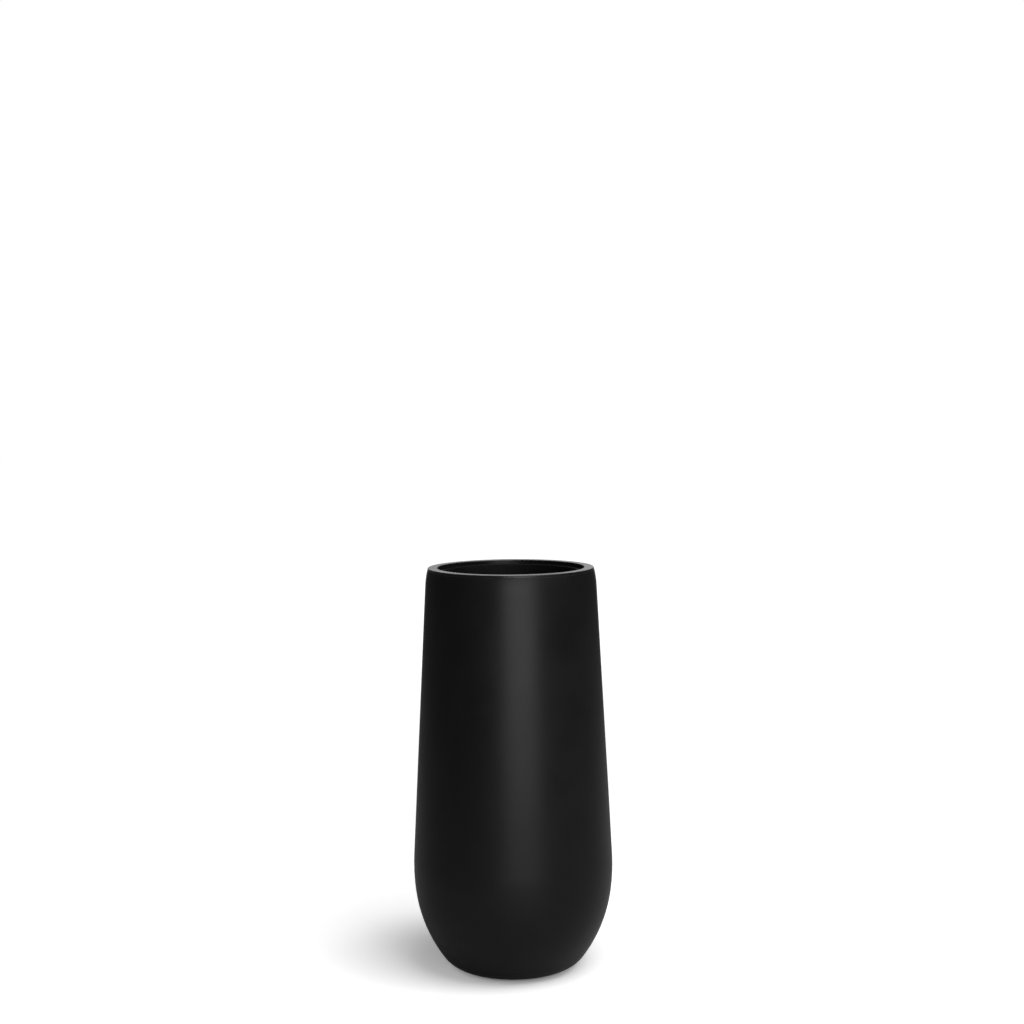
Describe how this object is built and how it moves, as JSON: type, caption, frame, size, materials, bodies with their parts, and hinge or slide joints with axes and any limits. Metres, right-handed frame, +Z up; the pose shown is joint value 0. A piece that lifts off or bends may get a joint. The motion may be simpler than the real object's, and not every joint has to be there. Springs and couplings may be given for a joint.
{
  "type": "tall planter",
  "caption": "Tall round floor planter with a tapered wall, low full belly and flat returned rim, a lift-out planting insert and a bunged drain in its floor.",
  "frame": {"origin": "centre of the circle the planter stands on, at the underside of the foot pads", "axes": "+Z up along the planter's axis of revolution; +X through one finger slot of the insert"},
  "size_m": [0.3968, 0.3968, 0.8],
  "materials": {
    "gelcoat": "satin black gelcoat on glass-fibre laminate",
    "rim_gelcoat": "satin black gelcoat, lightly rubbed along its edges",
    "laminate": "rough pigmented glass-fibre laminate",
    "sleeve_plastic": "moulded plastic",
    "insert_plastic": "matt moulded plastic",
    "rubber": "matt black rubber"
  },
  "bodies": {
    "planter": {"body_shell": "gelcoat", "rim_lip": "rim_gelcoat", "floor_panel": "laminate", "drain_sleeve": "sleeve_plastic", "foot_pad_1": "rubber", "foot_pad_2": "rubber", "foot_pad_3": "rubber", "foot_pad_4": "rubber"},
    "insert": {"planting_insert": "insert_plastic"},
    "bung": {"drain_bung": "rubber"}
  },
  "joints": [
    {"name": "insert_lift", "type": "slide", "parent": "planter", "child": "insert", "axis": [0, 0, 1], "range_m": [0, 0.33]},
    {"name": "drain_pull", "type": "slide", "parent": "planter", "child": "bung", "axis": [0, 0, -1], "range_m": [0, 0.03]}
  ]
}
